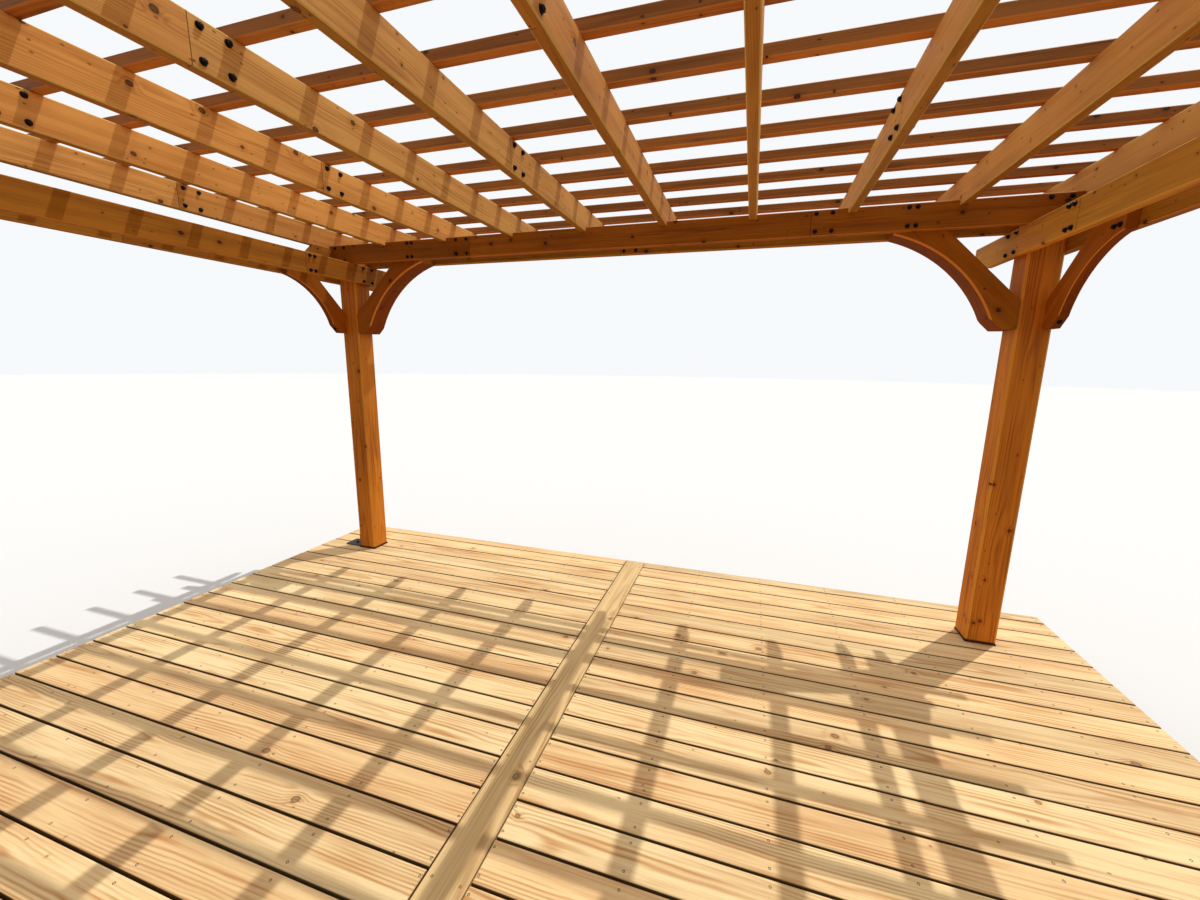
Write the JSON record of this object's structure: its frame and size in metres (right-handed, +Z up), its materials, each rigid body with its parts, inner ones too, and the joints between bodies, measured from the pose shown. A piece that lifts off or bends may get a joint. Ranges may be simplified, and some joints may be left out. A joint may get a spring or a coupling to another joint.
{
  "type": "pergola",
  "caption": "Open timber pergola on a low deck, with square posts, doubled beams, curved braces, notched rafters and purlins that shade the seats below.",
  "frame": {"origin": "on the ground under the middle of the roof", "axes": "+X along the width to the right, +Y to the back, +Z up"},
  "size_m": [4.901, 4.282, 2.504],
  "materials": {
    "stained_wood": "transparent cedar stain, satin, with small knots",
    "decking": "pale raw softwood, matt",
    "deck_frame": "pale raw softwood, matt",
    "black_steel": "black powder coat, satin"
  },
  "bodies": {
    "root": {"deck_boards_left": "decking", "deck_boards_right": "decking", "deck_centre_board": "decking", "deck_rim_back": "deck_frame", "deck_rim_front": "deck_frame", "deck_rim_sides": "deck_frame", "deck_joists": "deck_frame", "post_foot_back_left": "black_steel", "post_foot_back_right": "black_steel", "post_foot_front_left": "black_steel", "post_foot_front_right": "black_steel", "post_back_left": "stained_wood", "post_back_right": "stained_wood", "post_front_left": "stained_wood", "post_front_right": "stained_wood", "back_beam_inner": "stained_wood", "back_beam_outer": "stained_wood", "front_beam_inner": "stained_wood", "front_beam_outer": "stained_wood", "left_beam_inner": "stained_wood", "left_beam_outer": "stained_wood", "right_beam_inner": "stained_wood", "right_beam_outer": "stained_wood", "beam_brace_back_left": "stained_wood", "beam_brace_back_right": "stained_wood", "beam_brace_front_left": "stained_wood", "beam_brace_front_right": "stained_wood", "side_brace_back_left": "stained_wood", "side_brace_back_right": "stained_wood", "side_brace_front_left": "stained_wood", "side_brace_front_right": "stained_wood", "rafter_1": "stained_wood", "rafter_2": "stained_wood", "rafter_3": "stained_wood", "rafter_4": "stained_wood", "rafter_5": "stained_wood", "rafter_6": "stained_wood", "rafter_7": "stained_wood", "rafter_8": "stained_wood", "rafter_9": "stained_wood", "rafter_10": "stained_wood", "purlins_front": "stained_wood", "purlins_middle": "stained_wood", "purlins_back": "stained_wood", "corner_blocks": "stained_wood"}
  },
  "joints": []
}
